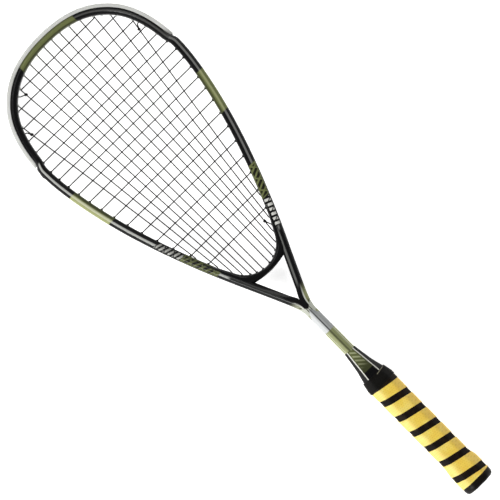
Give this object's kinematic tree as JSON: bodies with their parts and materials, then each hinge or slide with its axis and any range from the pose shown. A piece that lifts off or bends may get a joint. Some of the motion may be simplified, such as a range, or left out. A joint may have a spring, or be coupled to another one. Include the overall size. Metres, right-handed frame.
{
  "type": "squash racket",
  "caption": "Squash racket with a hollow teardrop frame, throat bridge, woven string bed, head bumper, tapered shaft and an octagonal handle with a banded grip.",
  "frame": {"origin": "centre of the butt cap's flat end face, on the racket's long axis", "axes": "+Y up the racket from the butt to the tip of the head, +X across the head, +Z normal to the string bed, so the racket lies flat"},
  "size_m": [0.2123, 0.686, 0.0338],
  "materials": {
    "carbon_frame": "clear-coated graphite composite, black with olive and silver bands",
    "bumper": "satin translucent grey nylon",
    "grommet": "black nylon",
    "string": "smooth dark multifilament",
    "handle_foam": "painted polyurethane moulding, dark with silver lines",
    "cap_plastic": "black moulded plastic",
    "staple_steel": "zinc-plated wire",
    "grip_base": "matte black polyurethane grip tape",
    "grip_yellow": "matte yellow polyurethane with fine perforations",
    "finishing_tape": "black vinyl tape",
    "collar_rubber": "soft black rubber",
    "plug_foam": "closed-cell foam"
  },
  "bodies": {
    "root": {"frame": "carbon_frame", "throat_bridge": "carbon_frame", "shaft_plugs": "plug_foam", "bumper_guard": "bumper", "side_grommet_strip_left": "grommet", "side_grommet_strip_right": "grommet", "bridge_grommet_strip": "grommet", "main_string": "string", "cross_string": "string", "main_string_knots": "string", "cross_string_knots": "string", "handle_core": "handle_foam", "butt_cap": "cap_plastic", "butt_cap_staples": "staple_steel", "base_grip": "grip_base", "grip_band": "grip_yellow", "finishing_tape": "finishing_tape", "grip_collar": "collar_rubber"}
  },
  "joints": []
}
